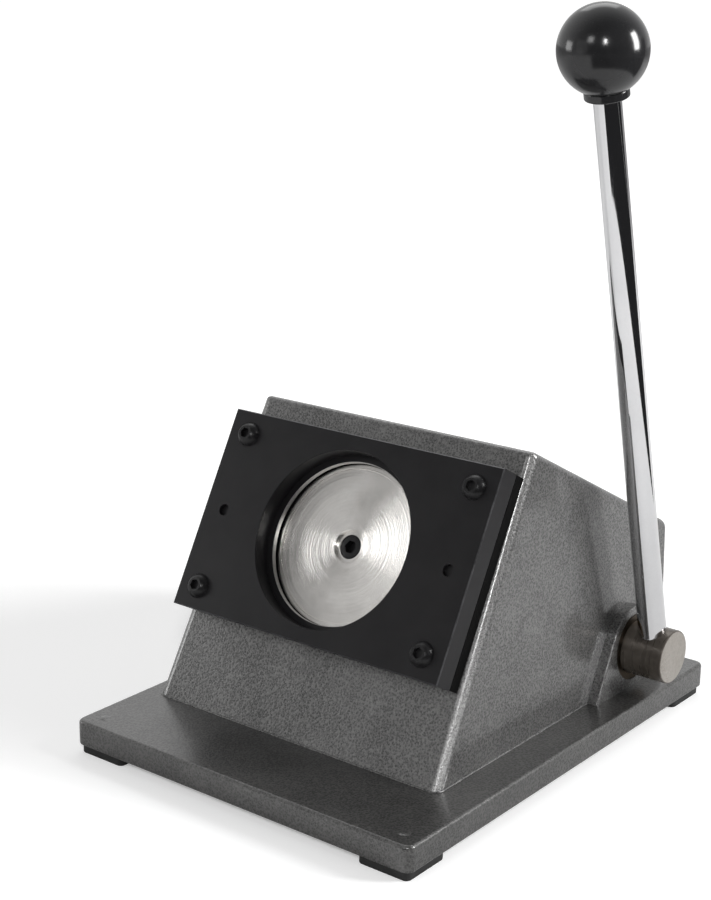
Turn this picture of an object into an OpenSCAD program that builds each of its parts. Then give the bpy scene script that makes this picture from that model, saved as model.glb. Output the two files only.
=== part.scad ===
// Desktop lever punch that cuts round badge papers.
// A sloping housing stands on a base plate. A die plate on its face holds a round die, and a
// punch slides out of the face when the lever turns a cam inside. X runs to the right,
// Y to the back and Z up. The origin is the middle of the footprint, on the floor.

/* [Base] */
// Width of the base plate
base_w = 176; // [172:1:240]
// Depth of the base plate, front to back
base_d = 229; // [226:1:300]
// Thickness of the base plate
base_t = 11; // [8:0.5:20]
// Radius of the base plate's corners
base_corner = 4; // [3:0.5:9]
// Height of the rubber feet
foot_h = 4; // [3:0.5:12]
// Side of a square rubber foot
foot_side = 24; // [20:1:40]
// Radius of a rubber foot's corners
foot_corner = 2.5; // [1:0.5:6]
// Distance of a foot's outer sides from the base plate's edges
foot_inset = 1.5; // [0.5:0.5:6]
// Distance of a foot screw from the base plate's edges
foot_screw_inset = 9; // [8:0.5:14]
// Diameter of a foot screw
foot_screw_d = 5; // [3:0.5:6]

/* [Housing] */
// Width of the housing where it meets the base
body_w = 150; // [148:1:160]
// Depth of the housing where it meets the base
body_d = 180; // [176:1:186]
// Height of the housing's ridge above the base
body_h = 123.5; // [120:0.5:150]
// Lean of the front face from the vertical, in degrees
face_tilt = 28.4; // [24:0.2:32]
// Fall of the roof below the horizontal, in degrees
roof_fall = 27; // [20:0.5:30]
// Taper of each side wall, in degrees
side_draft = 1.7; // [0:0.1:1.9]
// Thickness of the sides, roof and back
wall = 7; // [5:0.5:10]
// Thickness of the wall behind the front face
face_wall = 11; // [9:0.5:14]
// Bare strip of the base plate in front of the housing
front_ledge = 41.5; // [36:0.5:60]
// Bare strip of the base plate left of the housing
left_ledge = 8.5; // [4:0.5:10]
// Side of the posts that take the screws from below
post_side = 14; // [12:1:18]
// Height of the posts that take the screws from below
post_h = 18; // [12:1:20]
// Distance of the posts from the middle of the housing
post_x = 35; // [25:1:42]
// Diameter of the screws that hold the housing to the base
body_screw_d = 6; // [4:0.5:8]

/* [Die] */
// Width of the die plate, guide plate and their screw field
plate_w = 140; // [132:1:142]
// Height of the die plate and guide plate, up the slope
plate_h = 89; // [84:1:92]
// Thickness of the die plate
die_t = 10.5; // [9.5:0.5:14]
// Thickness of the guide plate behind the paper slot
guide_t = 4; // [3:0.5:6]
// Height of the paper slot
slot_t = 1.5; // [1:0.1:2.5]
// Width of the strips that keep the slot open
spacer_w = 20; // [16:1:24]
// Diameter of the circle that is cut
cut_d = 70; // [58:0.5:71]
// Diameter of the wide recess in front of the cutting edge
mouth_d = 76; // [74:0.5:80]
// Length of the cutting edge, measured through the plate
land_t = 2; // [1.5:0.1:3]
// Height of the die's centre up the slope from the base
ram_v = 84.2; // [83:0.1:86]
// Sideways distance of the plate screws from the centre
screw_x = 59.2; // [56:0.1:60]
// Distance of the plate screws from the centre, up the slope
screw_v = 34.4; // [30:0.1:36]
// Diameter of the plate screws
plate_screw_d = 6; // [5:0.5:6]
// Height of the plate screws' domed heads
button_h = 3.2; // [2.5:0.1:3.5]
// Diameter of the dowel pins
dowel_d = 5; // [3:0.5:6]
// Depth of the dowel pins below the die plate's front
dowel_sink = 2; // [1:0.5:3]

/* [Punch] */
// Thickness of the punch
punch_t = 13; // [12:0.5:14]
// Depth of the punch's hollow face at its middle
punch_dish = 1.5; // [0.5:0.1:2.5]
// Width of the flat cutting rim around the hollow
punch_rim = 2; // [1:0.5:4]
// Diameter of the shallow recess around the punch screw
punch_recess_d = 14; // [13.5:0.5:18]
// Depth of the shallow recess around the punch screw
punch_recess = 1.5; // [1:0.1:2]
// Diameter of the punch screw
punch_screw_d = 6; // [5:0.5:8]
// Diameter of the ram
ram_d = 30; // [25:0.5:34]
// Forward travel of the punch
stroke = 8; // [6:0.5:10]
// Length of the guide that holds the ram, behind its flange
guide_len = 31; // [24:1:34]
// Wall of the bronze bush around the ram
ram_bush_wall = 4; // [3:0.5:5]

/* [Lever] */
// Distance from the front face to the cross shaft, along the ram
shaft_depth = 117.5; // [114:0.5:122]
// Diameter of the cross shaft
shaft_d = 24; // [20:0.5:26]
// Length of shaft that stands out on the right
shaft_out = 19; // [17:0.5:30]
// Lean of the resting lever towards the front, in degrees
lever_lean = 15; // [0:0.5:20]
// Travel of the lever from rest, in degrees
lever_travel = 65; // [50:1:70]
// Distance from the shaft's axis to the middle of the ball
lever_len = 272; // [200:0.5:320]
// Diameter of the rod at the shaft
rod_low_d = 12.4; // [11:0.1:14]
// Diameter of the rod at the ball
rod_top_d = 10.8; // [9:0.1:12]
// Diameter of the ball knob
ball_d = 35; // [30:0.5:45]
// Diameter of the collar under the ball
collar_d = 17.5; // [15:0.5:20]
// Height of the collar under the ball
collar_h = 3.4; // [3:0.1:6]

/* [Bearings and cam] */
// Thickness of the bearing plate on the right side
arch_t = 5; // [4:0.5:8]
// Radius of the bearing plate's round top
arch_r = 18.5; // [17:0.5:22]
// Half the length of the bearing plate's foot
arch_foot = 31; // [27:0.5:34]
// Wall of the shaft's bushes
shaft_bush_wall = 3; // [2:0.5:4]
// Width of the cam
cam_w = 14; // [12:0.5:16]
// Smallest wall of the cam around the shaft
cam_wall = 4; // [3:0.5:5]
// Diameter of the follower roller
roller_d = 20; // [18:0.5:22]
// Diameter of the roller's pin
pin_d = 8; // [6:0.5:9]
// Wire diameter of the return spring
wire_d = 3; // [2:0.1:3.2]
// Number of turns in the return spring
spring_turns = 5; // [4:1:5]
// Width of a set collar on the shaft
set_w = 10; // [8:0.5:12]

/* [Hidden] */
// Gap around a piece that doesn't move in its hole
fit = 0.02;
// Gap around a piece that turns or slides in its hole
run = 0.05;
// Gap between faces that pass each other
pass = 0.5;
// Overshoot of a cutting shape past the face that it opens
over = 1;
$fn = 96;

base_top = foot_h + base_t;
front_y = -base_d / 2;
face_y = front_y + front_ledge;
back_y = face_y + body_d;
up_slope = [sin(face_tilt), cos(face_tilt)];
inward = [cos(face_tilt), -sin(face_tilt)];
down_roof = [cos(roof_fall), -sin(roof_fall)];
under_roof = [-sin(roof_fall), -cos(roof_fall)];
face_foot = [face_y, base_top];
ridge = face_foot + up_slope * body_h / cos(face_tilt);

shaft_at = face_foot + up_slope * ram_v + inward * shaft_depth;
shaft_y = shaft_at[0];
shaft_z = shaft_at[1];
shaft_r = shaft_d / 2;
side_at_shaft = half_w(shaft_z);
shaft_bush_r = shaft_r + shaft_bush_wall;
arch_out = side_at_shaft + arch_t;
shaft_right = arch_out + pass + shaft_out;
shaft_left = side_at_shaft - wall / 2;
left_bush_in = side_at_shaft - wall - 8;
lever_x = arch_out + pass + shaft_out / 2;

reach_right = left_ledge + body_w / 2 + max(shaft_right, lever_x + ball_d / 2);
overall_w = max(base_w, reach_right);
base_x = (base_w - overall_w) / 2;
ram_x = left_ledge + (body_w - overall_w) / 2;

guide_face = guide_t;
slot_face = guide_face + slot_t;
die_face = slot_face + die_t;
punch_r = cut_d / 2 - run;
punch_back = guide_face - punch_t;
punch_head_top = guide_face - punch_dish - punch_recess;
punch_seat = punch_head_top - punch_screw_d;
flange_face = -face_wall;
flange_t = 9;
flange_r = cut_d / 2 + 11;
flange_screw_ring = cut_d / 2 + 5.5;
flange_screw_d = 5;
flange_back = flange_face - flange_t;
guide_back = flange_back - guide_len;
ram_r = ram_d / 2;
ram_bush_r = ram_r + ram_bush_wall;
guide_r = ram_bush_r + 7;

roller_r = roller_d / 2;
cam_low = shaft_r + cam_wall;
roller_reach = cam_low + roller_r + run;
roller_at = roller_reach - shaft_depth;
rise_rate = stroke / (lever_travel * PI / 180);
ear_reach = pin_d / 2 + 5;
ram_back = roller_at - ear_reach;
fork_gap = cam_w + 2 * pass;
fork_start = roller_at + roller_r + 1;
seat_t = 4;
seat_r = ram_r + 10;
ring_t = 1.5;
ring_depth = 1.5;
seat_back = roller_at + 8;
seat_face = seat_back + seat_t;
coil_r = (ram_r + seat_r) / 2 + 2;
set_r = shaft_r + 5;
set_screw_d = 5;
key_w = 6;
key_h = 5;
key_sink = 3;

head_ratio = 1.66;
button_ratio = 1.8;
hex_ratio = 0.84;
foot_head_d = foot_screw_d * 1.8;
foot_head_h = 1.6;
stub_d = rod_top_d - 3;
stub_len = 13;
rod_root = shaft_r - 2;
rod_thread_d = rod_low_d - 2.4;
rod_thread_len = 14;
ball_sink = 2.5;
rod_end = lever_len - ball_d / 2 - collar_h + ball_sink;
insert_d = stub_d + 4;

// half the housing's width at a height
function half_w(z) = body_w / 2 - (z - base_top) * tan(side_draft);

// where two lines in a plane cross, each given by a point and a direction
function cross_at(p, a, q, b) =
    p + a * ((q[0] - p[0]) * b[1] - (q[1] - p[1]) * b[0]) / (a[0] * b[1] - a[1] * b[0]);

// side outline of the housing, moved in by a thickness at each wall and down by a drop
function side_outline(front, roof, back, drop) =
    let (
        low = base_top - drop,
        face_line = face_foot + inward * front,
        roof_line = ridge + under_roof * roof,
        back_line = [back_y - back, base_top]
    )
    [
        cross_at(face_line, up_slope, [0, low], [1, 0]),
        cross_at(face_line, up_slope, roof_line, down_roof),
        cross_at(back_line, [0, 1], roof_line, down_roof),
        [back_y - back, low]
    ];

// point on the cam's edge that carries the roller when the lever is at an angle
function pitch(t) = roller_reach + rise_rate * min(t, lever_travel) * PI / 180;
function cam_point(t, rate) =
    let (
        reach = pitch(t),
        steep = norm([reach, rate]),
        hold = roller_r + run
    )
    [
        reach * sin(t) - hold * (reach * sin(t) - rate * cos(t)) / steep,
        reach * cos(t) - hold * (reach * cos(t) + rate * sin(t)) / steep
    ];

// outline of the bearing plate around the shaft's axis, straight sides blending into a round top
function arch_outline() =
    let (
        rise = shaft_z - base_top,
        heading = atan2(rise, arch_foot) + asin(arch_r / norm([arch_foot, rise])),
        stops = 24
    )
    concat(
        [[-arch_foot, -rise]],
        [
            for (i = [0:stops])
                let (turn = 90 + heading - 2 * heading * i / stops)
                arch_r * [cos(turn), sin(turn)]
        ],
        [[arch_foot, -rise]]
    );

// local X across, local Y up the slope, local Z out of the face, on the ram's axis
module on_ram() {
    translate([ram_x, face_y, base_top])
        rotate([90 - face_tilt, 0, 0])
            translate([0, ram_v, 0])
                children();
}

module on_shaft() {
    translate([ram_x, shaft_y, shaft_z])
        children();
}

module on_lever() {
    on_shaft()
        translate([lever_x, 0, 0])
            rotate([lever_lean, 0, 0])
                children();
}

// solid cylinder along X between two distances
module rod_x(r, from, to) {
    translate([from, 0, 0])
        rotate([0, 90, 0])
            cylinder(r = r, h = to - from);
}

// solid cylinder along Z between two heights
module rod_z(r, from, to) {
    translate([0, 0, from])
        cylinder(r = r, h = to - from);
}

// outline in the Y-Z plane, made solid along X on both sides of the middle
module across(points, width) {
    rotate([90, 0, 90])
        linear_extrude(width, center = true)
            polygon(points);
}

// the housing's block between tapering sides, moved in by a side wall
module tapered_block(outline, side) {
    low = base_top - 2 * over;
    high = base_top + body_h + over;
    intersection() {
        across(outline, 2 * body_w);
        rotate([90, 0, 0])
            linear_extrude(3 * body_d, center = true)
                polygon([
                    [side - half_w(low), low],
                    [half_w(low) - side, low],
                    [half_w(high) - side, high],
                    [side - half_w(high), high]
                ]);
    }
}

module at_corners(x, y) {
    for (sx = [-1, 1])
        for (sy = [-1, 1])
            translate([sx * x, sy * y, 0])
                children();
}

module at_posts() {
    for (sx = [-1, 1])
        for (y = [face_y + face_wall + post_side, back_y - wall - post_side / 2])
            translate([ram_x + sx * post_x, y, 0])
                children();
}

// cap screw along Z with its head's top at zero
module cap_screw(d, len, head) {
    difference() {
        union() {
            rod_z(d * head_ratio / 2, -head, 0);
            rod_z(d / 2, -head - len, -head);
        }
        translate([0, 0, -head * 0.55])
            cylinder(d = d * hex_ratio / cos(30), h = head, $fn = 6);
    }
}

// screw along Z with a domed head that stands on zero
module button_screw(d, len, head) {
    head_r = d * button_ratio / 2;
    flat_r = d * hex_ratio * 0.62;
    drop = (head_r * head_r - flat_r * flat_r - head * head) / (2 * head);
    difference() {
        union() {
            rod_z(d / 2, -len, 0);
            intersection() {
                translate([0, 0, -drop])
                    sphere(r = norm([head_r, drop]));
                rod_z(head_r, 0, head);
            }
        }
        translate([0, 0, head * 0.35])
            cylinder(d = d * 0.67 / cos(30), h = head, $fn = 6);
    }
}

module rounded_slab(w, d, t, r) {
    linear_extrude(t)
        union() {
            square([w, d - 2 * r], center = true);
            square([w - 2 * r, d], center = true);
            at_corners(w / 2 - r, d / 2 - r)
                circle(r = r);
        }
}

module base_plate() {
    color("dimgray")
        difference() {
            translate([base_x, 0, foot_h])
                rounded_slab(base_w, base_d, base_t, base_corner);
            translate([base_x, 0, 0])
                at_corners(base_w / 2 - foot_screw_inset, base_d / 2 - foot_screw_inset)
                    rod_z(foot_screw_d / 2 + fit, foot_h - over, base_top + over);
            at_posts() {
                rod_z(body_screw_d / 2 + fit, foot_h - over, base_top + over);
                rod_z(body_screw_d * head_ratio / 2 + fit, foot_h - over, foot_h + body_screw_d);
            }
        }
}

module rubber_feet() {
    place = [base_w / 2 - foot_inset - foot_side / 2, base_d / 2 - foot_inset - foot_side / 2];
    hole = [base_w / 2 - foot_screw_inset, base_d / 2 - foot_screw_inset];
    color("black")
        translate([base_x, 0, 0])
            difference() {
                at_corners(place[0], place[1])
                    rounded_slab(foot_side, foot_side, foot_h, foot_corner);
                at_corners(hole[0], hole[1]) {
                    rod_z(foot_screw_d / 2 + fit, -over, foot_h + over);
                    rod_z(foot_head_d / 2 + fit, -over, foot_h - foot_head_h / 2);
                }
            }
}

module foot_screws() {
    color("gray")
        translate([base_x, 0, 0])
            at_corners(base_w / 2 - foot_screw_inset, base_d / 2 - foot_screw_inset) {
                rod_z(foot_head_d / 2, foot_h - 1.5 * foot_head_h, foot_h - foot_head_h / 2);
                rod_z(foot_screw_d / 2, foot_h - foot_head_h / 2, base_top);
            }
}

module housing() {
    left_boss = side_at_shaft - wall / 2;
    color("dimgray")
        difference() {
            intersection() {
                translate([ram_x, 0, 0])
                    tapered_block(side_outline(0, 0, 0, 0), 0);
                union() {
                    translate([ram_x, 0, 0])
                        difference() {
                            tapered_block(side_outline(0, 0, 0, 0), 0);
                            tapered_block(side_outline(face_wall, wall, wall, over), wall);
                        }
                    at_posts()
                        translate([-post_side / 2, -post_side / 2, base_top])
                            cube([post_side, post_side, post_h]);
                    on_shaft()
                        rod_x(shaft_bush_r + 2.5, -left_boss, -left_bush_in);
                }
            }
            on_ram() {
                rod_z(punch_r + 1, -face_wall - over, over);
                at_corners(screw_x, screw_v)
                    rod_z(plate_screw_d / 2 + fit, over - face_wall, over);
                at_corners(screw_x, 0)
                    rod_z(dowel_d / 2 + fit, over - face_wall, over);
                for (turn = [45:90:315])
                    rotate(turn)
                        translate([flange_screw_ring, 0, 0])
                            rod_z(flange_screw_d / 2 + fit, -face_wall - over, -3);
            }
            on_shaft() {
                rod_x(shaft_bush_r + fit, side_at_shaft - 2 * wall, body_w);
                rod_x(shaft_bush_r + fit, -shaft_left, -left_bush_in + over);
            }
            at_posts()
                rod_z(body_screw_d / 2 + fit, base_top - over, base_top + post_h - 3);
        }
}

module body_screws() {
    head = body_screw_d;
    color("dimgray")
        at_posts()
            translate([0, 0, foot_h])
                mirror([0, 0, 1])
                    cap_screw(body_screw_d, base_t + post_h - head - 5, head);
}

module side_bearing_plate() {
    top = shaft_z + arch_r + over;
    color("dimgray")
        difference() {
            intersection() {
                on_shaft()
                    translate([body_w / 2, 0, 0])
                        across(arch_outline(), body_w / 2);
                translate([ram_x, 0, 0])
                    rotate([90, 0, 0])
                        linear_extrude(3 * body_d, center = true)
                            polygon([
                                [half_w(base_top), base_top],
                                [half_w(base_top) + arch_t, base_top],
                                [half_w(top) + arch_t, top],
                                [half_w(top), top]
                            ]);
            }
            on_shaft()
                rod_x(shaft_bush_r + fit, 0, body_w);
        }
}

module right_bush() {
    color("peru")
        on_shaft()
            difference() {
                rod_x(shaft_bush_r, side_at_shaft - wall, arch_out);
                rod_x(shaft_r + run, 0, body_w);
            }
}

module left_bush() {
    color("peru")
        on_shaft()
            difference() {
                rod_x(shaft_bush_r, -shaft_left, -left_bush_in);
                rod_x(shaft_r + run, -body_w, 0);
            }
}

module plate_blank(t) {
    translate([-plate_w / 2, -plate_h / 2, 0])
        cube([plate_w, plate_h, t]);
}

module plate_holes() {
    at_corners(screw_x, screw_v)
        rod_z(plate_screw_d / 2 + fit, -over, die_face + over);
    at_corners(screw_x, 0)
        rod_z(dowel_d / 2 + fit, -over, die_face + over);
}

module guide_plate() {
    color("black")
        on_ram()
            difference() {
                plate_blank(guide_t);
                rod_z(cut_d / 2, -over, guide_t + over);
                plate_holes();
            }
}

module slot_spacers() {
    color("black")
        on_ram()
            difference() {
                for (side = [-1, 1])
                    translate([side * (plate_w - spacer_w) / 2, 0, guide_face + slot_t / 2])
                        cube([spacer_w, plate_h, slot_t], center = true);
                plate_holes();
            }
}

module die_plate() {
    color("black")
        on_ram()
            difference() {
                translate([0, 0, slot_face])
                    plate_blank(die_t);
                rod_z(cut_d / 2, 0, die_face + over);
                rod_z(mouth_d / 2, slot_face + land_t, die_face + over);
                plate_holes();
            }
}

module die_screws() {
    color("black")
        on_ram()
            at_corners(screw_x, screw_v)
                translate([0, 0, die_face])
                    button_screw(plate_screw_d, die_face + face_wall - 2, button_h);
}

module dowel_pins() {
    color("black")
        on_ram()
            for (side = [-1, 1])
                translate([side * screw_x, 0, 0])
                    rod_z(dowel_d / 2, 2 - face_wall, die_face - dowel_sink);
}

module ram_guide() {
    color("slategray")
        on_ram()
            difference() {
                union() {
                    rod_z(flange_r, flange_back, flange_face);
                    rod_z(guide_r, guide_back, flange_back);
                }
                rod_z(ram_bush_r + fit, guide_back - over, flange_face + over);
                for (turn = [45:90:315])
                    rotate(turn)
                        translate([flange_screw_ring, 0, 0])
                            rod_z(flange_screw_d / 2 + fit, flange_back - over, flange_face + over);
            }
}

module ram_bush() {
    color("peru")
        on_ram()
            difference() {
                rod_z(ram_bush_r, guide_back, flange_face);
                rod_z(ram_r + run, guide_back - over, flange_face + over);
            }
}

module guide_screws() {
    head = flange_screw_d;
    color("dimgray")
        on_ram()
            for (turn = [45:90:315])
                rotate(turn)
                    translate([flange_screw_ring, 0, flange_back - head])
                        mirror([0, 0, 1])
                            cap_screw(flange_screw_d, flange_t + face_wall - 4, head);
}

module return_spring() {
    sides = 8;
    steps = 12 * spring_turns;
    low = seat_face + wire_d / 2 + run;
    high = guide_back - wire_d / 2 - run;
    points = [
        for (i = [0:steps])
            for (j = [0:sides - 1])
                let (
                    turn = 360 * spring_turns * i / steps,
                    swing = 360 * j / sides,
                    r = coil_r + wire_d / 2 * cos(swing)
                )
                [r * cos(turn), r * sin(turn), low + (high - low) * i / steps + wire_d / 2 * sin(swing)]
    ];
    rings = [
        for (i = [0:steps - 1])
            for (j = [0:sides - 1])
                let (a = i * sides + j, b = i * sides + (j + 1) % sides)
                [a, b, b + sides, a + sides]
    ];
    start = [for (j = [sides - 1:-1:0]) j];
    end = [for (j = [0:sides - 1]) steps * sides + j];
    color("silver")
        on_ram()
            polyhedron(points, concat([start], rings, [end]));
}

module punch() {
    hollow = guide_face - punch_dish;
    color("gainsboro")
        on_ram()
            difference() {
                rod_z(punch_r, punch_back, guide_face);
                translate([0, 0, hollow])
                    cylinder(r1 = punch_recess_d / 2, r2 = punch_r - punch_rim, h = punch_dish);
                rod_z(punch_r - punch_rim, guide_face, guide_face + over);
                rod_z(punch_recess_d / 2, punch_head_top, hollow + over);
                rod_z(punch_screw_d * head_ratio / 2 + pass / 2, punch_seat, guide_face);
                rod_z(punch_screw_d / 2 + fit, punch_back - over, guide_face);
            }
}

module punch_screw() {
    color("black")
        on_ram()
            translate([0, 0, punch_head_top])
                cap_screw(punch_screw_d, punch_seat - punch_back + 14, punch_screw_d);
}

module ram() {
    thread_end = punch_back - 16;
    color("silver")
        on_ram()
            difference() {
                rod_z(ram_r, ram_back, punch_back);
                rod_z(punch_screw_d / 2 + fit, thread_end, punch_back + over);
                translate([-fork_gap / 2, -ram_r - over, ram_back - over])
                    cube([fork_gap, 2 * (ram_r + over), fork_start - ram_back + over]);
                translate([0, 0, roller_at])
                    rod_x(pin_d / 2 + fit, -ram_d, ram_d);
                difference() {
                    rod_z(ram_r + over, seat_back - ring_t - fit, seat_back);
                    rod_z(ram_r - ring_depth, seat_back - ring_t - over, seat_back + over);
                }
            }
}

module spring_seat() {
    color("gray")
        on_ram()
            difference() {
                rod_z(seat_r, seat_back, seat_face);
                rod_z(ram_r + fit, seat_back - over, seat_face + over);
            }
}

module seat_ring() {
    gap = 5;
    color("dimgray")
        on_ram()
            difference() {
                rod_z(ram_r + 2, seat_back - ring_t, seat_back);
                rod_z(ram_r - ring_depth + fit, seat_back - ring_t - over, seat_back + over);
                translate([-gap / 2, 0, seat_back - ring_t - over])
                    cube([gap, ram_d, ring_t + 2 * over]);
            }
}

module roller_pin() {
    half = sqrt(ram_r * ram_r - pin_d * pin_d / 4);
    color("silver")
        on_ram()
            translate([0, 0, roller_at])
                rod_x(pin_d / 2, -half, half);
}

module follower_roller() {
    half = cam_w / 2 - pass / 2;
    color("silver")
        on_ram()
            translate([0, 0, roller_at])
                difference() {
                    rod_x(roller_r, -half, half);
                    rod_x(pin_d / 2 + run, -cam_w, cam_w);
                }
}

module cross_shaft() {
    chamfer = 0.8;
    color("darkslategray")
        difference() {
            on_shaft() {
                rod_x(shaft_r, -shaft_left + pass, shaft_right - chamfer);
                translate([shaft_right - chamfer, 0, 0])
                    rotate([0, 90, 0])
                        cylinder(r1 = shaft_r, r2 = shaft_r - chamfer, h = chamfer);
            }
            on_lever() {
                rod_z(rod_low_d / 2 + fit, rod_root, lever_len);
                rod_z(rod_thread_d / 2 + fit, rod_root - rod_thread_len - 1, lever_len);
            }
            key_block(cam_w, fit);
        }
}

// the key lies on the cam's high side, where its wall is thick
module key_block(len, gap) {
    on_shaft()
        rotate([90 - face_tilt - lever_travel, 0, 0])
            translate([-len / 2, -key_w / 2 - gap, shaft_r - key_sink - gap])
                cube([len, key_w + 2 * gap, key_h + 2 * gap]);
}

module cam() {
    stops = 14;
    tail = 15;
    outline = concat(
        [for (i = [0:4]) cam_point(0, rise_rate * i / 4)],
        [for (i = [1:stops]) cam_point(lever_travel * i / stops, rise_rate)],
        [for (i = [2:3]) cam_point(lever_travel + tail * i / 3, 0)],
        [for (i = [0:22]) cam_low * [sin(130 + 10 * i), cos(130 + 10 * i)]]
    );
    color("silver")
        difference() {
            on_shaft()
                rotate([90 - face_tilt, 0, 0])
                    across(outline, cam_w);
            on_shaft()
                rod_x(shaft_r + fit, -cam_w, cam_w);
            key_block(cam_w + 2 * over, fit);
        }
}

module cam_key() {
    color("gray")
        key_block(cam_w - 2 * fit, 0);
}

module at_collars() {
    for (x = [side_at_shaft - wall - pass - set_w / 2, pass + set_w / 2 - left_bush_in])
        translate([x, 0, 0])
            children();
}

module set_collars() {
    color("dimgray")
        on_shaft()
            at_collars()
                difference() {
                    rod_x(set_r, -set_w / 2, set_w / 2);
                    rod_x(shaft_r + fit, -set_w, set_w);
                    rod_z(set_screw_d / 2 + fit, 0, set_r + over);
                }
}

module collar_screws() {
    color("black")
        on_shaft()
            at_collars()
                difference() {
                    rod_z(set_screw_d / 2, shaft_r + fit, set_r - pass);
                    translate([0, 0, set_r - 2.5])
                        cylinder(d = 2.9, h = 3, $fn = 6);
                }
}

module lever_rod() {
    color("white")
        on_lever() {
            translate([0, 0, rod_root])
                cylinder(d1 = rod_low_d, d2 = rod_top_d, h = rod_end - rod_root);
            rod_z(rod_thread_d / 2, rod_root - rod_thread_len, rod_root);
            rod_z(stub_d / 2, rod_end, rod_end + stub_len);
        }
}

module knob_collar() {
    color("black")
        on_lever()
            difference() {
                translate([0, 0, rod_end])
                    rod_z(collar_d / 2, 0, collar_h);
                rod_z(stub_d / 2 + fit, rod_end - over, lever_len);
            }
}

module knob_insert() {
    color("gold")
        on_lever()
            difference() {
                rod_z(insert_d / 2, rod_end + collar_h, rod_end + stub_len + 2);
                rod_z(stub_d / 2 + fit, rod_end, rod_end + stub_len + fit);
            }
}

module ball_knob() {
    color("black")
        on_lever()
            difference() {
                translate([0, 0, lever_len])
                    sphere(d = ball_d);
                rod_z(ball_d, 0, rod_end + collar_h);
                rod_z(insert_d / 2 + fit, 0, rod_end + stub_len + 2 + fit);
            }
}

base_plate();
rubber_feet();
foot_screws();
housing();
body_screws();
side_bearing_plate();
right_bush();
left_bush();
guide_plate();
slot_spacers();
die_plate();
die_screws();
dowel_pins();
ram_guide();
ram_bush();
guide_screws();
return_spring();
punch();
punch_screw();
ram();
spring_seat();
seat_ring();
roller_pin();
follower_roller();
cross_shaft();
cam();
cam_key();
set_collars();
collar_screws();
lever_rod();
knob_collar();
knob_insert();
ball_knob();
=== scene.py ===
import math
import bmesh
import bpy
from mathutils import Matrix, Vector


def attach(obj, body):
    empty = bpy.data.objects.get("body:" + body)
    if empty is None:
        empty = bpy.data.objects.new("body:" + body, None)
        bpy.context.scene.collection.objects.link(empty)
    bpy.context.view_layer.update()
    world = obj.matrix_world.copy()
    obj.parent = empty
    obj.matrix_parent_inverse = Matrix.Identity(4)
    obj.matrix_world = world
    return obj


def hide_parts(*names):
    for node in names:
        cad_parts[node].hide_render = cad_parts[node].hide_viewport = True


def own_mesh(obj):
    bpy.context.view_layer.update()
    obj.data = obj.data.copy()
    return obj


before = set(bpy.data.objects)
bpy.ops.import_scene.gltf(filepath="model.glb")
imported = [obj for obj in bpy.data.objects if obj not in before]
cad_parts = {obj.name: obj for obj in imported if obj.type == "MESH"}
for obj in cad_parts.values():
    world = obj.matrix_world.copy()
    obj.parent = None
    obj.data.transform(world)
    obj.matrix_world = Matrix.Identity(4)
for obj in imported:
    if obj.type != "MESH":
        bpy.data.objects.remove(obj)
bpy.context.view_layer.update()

scene = bpy.context.scene
mm = 0.001

# places on the machine, in millimetres until a mesh is placed

body = dict(ramX=-11.73, faceY=-73, backY=107, top=15, height=123.5, halfWidth=75, draft=1.7, tilt=28.4,
            roof=27, ramUp=84.2, shaftY=70.406, shaftZ=33.181, leverOut=89.46, leverLean=15,
            plateScrewX=59.2, plateScrewUp=34.4)
draft, tilt, roof, lean = (math.radians(body[key]) for key in ("draft", "tilt", "roof", "leverLean"))
across = Vector((1, 0, 0))
upSlope = Vector((0, math.sin(tilt), math.cos(tilt)))
outward = Vector((0, -math.cos(tilt), math.sin(tilt)))
dieCentre = Vector((body["ramX"], body["faceY"], body["top"])) + upSlope * body["ramUp"]
shaftY, shaftZ = body["shaftY"], body["shaftZ"]


def frameOf(x, y, z, origin):
    turn = Matrix((x, y, z)).transposed().to_4x4()
    turn.translation = Vector(origin)
    return turn


def shifted(x=0, y=0, z=0):
    return Matrix.Translation((x, y, z))


def fourPlaces(x, y, z=0):
    return [shifted(sideX * x, sideY * y, z) for sideX in (-1, 1) for sideY in (-1, 1)]


def halfWidth(z):
    return body["halfWidth"] - (z - body["top"]) * math.tan(draft)


asDrawn = Matrix.Identity(4)
onFace = frameOf(across, upSlope, outward, dieCentre)
onShaft = frameOf((0, 1, 0), (0, 0, 1), (1, 0, 0), (body["ramX"], shaftY, shaftZ))
onLever = frameOf((1, 0, 0), (0, math.cos(lean), math.sin(lean)), (0, -math.sin(lean), math.cos(lean)),
                  (body["ramX"] + body["leverOut"], shaftY, shaftZ))
screwPlaces = fourPlaces(body["plateScrewX"], body["plateScrewUp"])  # round the die's centre
pinPlaces = [shifted(side * body["plateScrewX"]) for side in (-1, 1)]


# node graphs, for finishes and for patterns

class Wire:
    def __init__(self, graph, socket):
        self.graph, self.socket = graph, socket

    def maths(self, operation, first, second):
        return self.graph.add("ShaderNodeMath", {"operation": operation}, [first, second])

    def __add__(self, other):
        return self.maths("ADD", self, other)

    def __sub__(self, other):
        return self.maths("SUBTRACT", self, other)

    def __rsub__(self, other):
        return self.maths("SUBTRACT", other, self)

    def __mul__(self, other):
        return self.maths("MULTIPLY", self, other)

    def __truediv__(self, other):
        return self.maths("DIVIDE", self, other)

    def __pow__(self, other):
        return self.maths("POWER", self, other)

    def __abs__(self):
        return self.maths("ABSOLUTE", self, None)

    def largest(self, other):
        return self.maths("MAXIMUM", self, other)


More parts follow.
